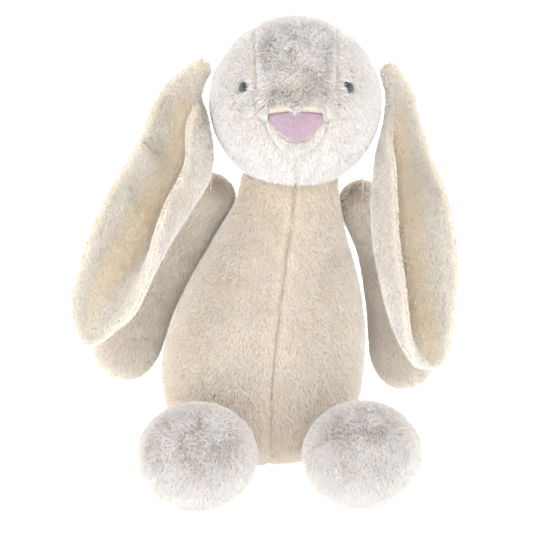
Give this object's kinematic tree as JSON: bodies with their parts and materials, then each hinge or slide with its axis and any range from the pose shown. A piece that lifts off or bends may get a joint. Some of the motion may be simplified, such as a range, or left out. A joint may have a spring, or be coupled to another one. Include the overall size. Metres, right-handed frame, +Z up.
{
  "type": "stuffed bunny rabbit",
  "caption": "Sitting long-eared stuffed rabbit in cream plush, with a round head, lop ears, hanging arms and legs that point forward.",
  "frame": {"origin": "on the floor, under the middle of the box around the sitting rabbit", "axes": "+Z up, the rabbit faces -Y, its own left is +X"},
  "size_m": [0.4487, 0.3605, 0.5474],
  "materials": {
    "cream_plush": "deep soft pile",
    "ear_lining_plush": "soft pile",
    "polyester_stuffing": "loose fibre",
    "bag_cloth": "plain woven cloth",
    "plastic_pellets": "matte",
    "sewing_thread": "twisted thread",
    "nose_velour": "short velour",
    "eye_plastic": "polished",
    "washer_plastic": "matte"
  },
  "bodies": {
    "torso": {"torso_front_left": "cream_plush", "torso_front_right": "cream_plush", "torso_back_left": "cream_plush", "torso_back_right": "cream_plush", "seat_panel": "cream_plush", "torso_stuffing": "polyester_stuffing", "bean_bag_pouch": "bag_cloth", "bean_bag_pellets": "plastic_pellets", "back_closing_stitch": "sewing_thread", "tail_cover": "cream_plush", "tail_stuffing": "polyester_stuffing"},
    "neck_seam": {"neck_stitch": "sewing_thread"},
    "head": {"head_gusset": "cream_plush", "head_side_left": "cream_plush", "head_side_right": "cream_plush", "head_stuffing": "polyester_stuffing", "nose_patch": "nose_velour", "eye_left": "eye_plastic", "eye_right": "eye_plastic", "eye_washer_left": "washer_plastic", "eye_washer_right": "washer_plastic"},
    "ear_left_seam": {"ear_left_stitch": "sewing_thread"},
    "ear_left": {"ear_left_lining": "ear_lining_plush", "ear_left_back": "cream_plush"},
    "ear_right_seam": {"ear_right_stitch": "sewing_thread"},
    "ear_right": {"ear_right_lining": "ear_lining_plush", "ear_right_back": "cream_plush"},
    "arm_left_seam": {"arm_left_stitch": "sewing_thread"},
    "arm_left": {"arm_left_front": "cream_plush", "arm_left_back": "cream_plush", "arm_left_stuffing": "polyester_stuffing"},
    "arm_right_seam": {"arm_right_stitch": "sewing_thread"},
    "arm_right": {"arm_right_front": "cream_plush", "arm_right_back": "cream_plush", "arm_right_stuffing": "polyester_stuffing"},
    "leg_left_seam": {"leg_left_stitch": "sewing_thread"},
    "leg_left": {"leg_left_outer": "cream_plush", "leg_left_inner": "cream_plush", "foot_left_sole": "cream_plush", "leg_left_stuffing": "polyester_stuffing"},
    "leg_right_seam": {"leg_right_stitch": "sewing_thread"},
    "leg_right": {"leg_right_outer": "cream_plush", "leg_right_inner": "cream_plush", "foot_right_sole": "cream_plush", "leg_right_stuffing": "polyester_stuffing"}
  },
  "joints": [
    {"name": "neck_turn", "type": "hinge", "parent": "torso", "child": "neck_seam", "pos_m": [0.034, 0.022, 0.447], "axis": [0, 0, 1], "range_deg": [-12, 12]},
    {"name": "neck_nod", "type": "hinge", "parent": "neck_seam", "child": "head", "pos_m": [0.034, 0.022, 0.447], "axis": [1, 0, 0], "range_deg": [-20, 12]},
    {"name": "ear_left_hang", "type": "hinge", "parent": "head", "child": "ear_left_seam", "pos_m": [0.144, 0.02, 0.484], "axis": [1, 0, 0], "range_deg": [-12, 20]},
    {"name": "ear_left_lift", "type": "hinge", "parent": "ear_left_seam", "child": "ear_left", "pos_m": [0.144, 0.02, 0.484], "axis": [0, -1, 0], "range_deg": [0, 72]},
    {"name": "ear_right_hang", "type": "hinge", "parent": "head", "child": "ear_right_seam", "pos_m": [-0.076, 0.02, 0.488], "axis": [1, 0, 0], "range_deg": [-12, 20]},
    {"name": "ear_right_lift", "type": "hinge", "parent": "ear_right_seam", "child": "ear_right", "pos_m": [-0.076, 0.02, 0.488], "axis": [0, 1, 0], "range_deg": [0, 56]},
    {"name": "arm_left_swing", "type": "hinge", "parent": "torso", "child": "arm_left_seam", "pos_m": [0.115, 0.065, 0.317], "axis": [-1, 0, 0], "range_deg": [-45, 2]},
    {"name": "arm_left_spread", "type": "hinge", "parent": "arm_left_seam", "child": "arm_left", "pos_m": [0.115, 0.065, 0.317], "axis": [0, -1, 0], "range_deg": [0, 64]},
    {"name": "arm_right_swing", "type": "hinge", "parent": "torso", "child": "arm_right_seam", "pos_m": [-0.066, 0.065, 0.325], "axis": [-1, 0, 0], "range_deg": [-45, 2]},
    {"name": "arm_right_spread", "type": "hinge", "parent": "arm_right_seam", "child": "arm_right", "pos_m": [-0.066, 0.065, 0.325], "axis": [0, 1, 0], "range_deg": [0, 60]},
    {"name": "leg_left_lift", "type": "hinge", "parent": "torso", "child": "leg_left_seam", "pos_m": [0.09918, -0.05292, 0.043], "axis": [-0.9936, -0.1132, 0], "range_deg": [0, 28]},
    {"name": "leg_left_splay", "type": "hinge", "parent": "leg_left_seam", "child": "leg_left", "pos_m": [0.09918, -0.05292, 0.043], "axis": [0, 0, 1], "range_deg": [-6, 30]},
    {"name": "leg_right_lift", "type": "hinge", "parent": "torso", "child": "leg_right_seam", "pos_m": [-0.08364, -0.07375, 0.043], "axis": [-0.9936, -0.1132, 0], "range_deg": [0, 28]},
    {"name": "leg_right_splay", "type": "hinge", "parent": "leg_right_seam", "child": "leg_right", "pos_m": [-0.08364, -0.07375, 0.043], "axis": [0, 0, -1], "range_deg": [-6, 30]}
  ],
  "couplings": [
    {"joint": "ear_left_hang", "follows": "neck_nod", "ratio": -1},
    {"joint": "ear_right_hang", "follows": "neck_nod", "ratio": -1}
  ]
}
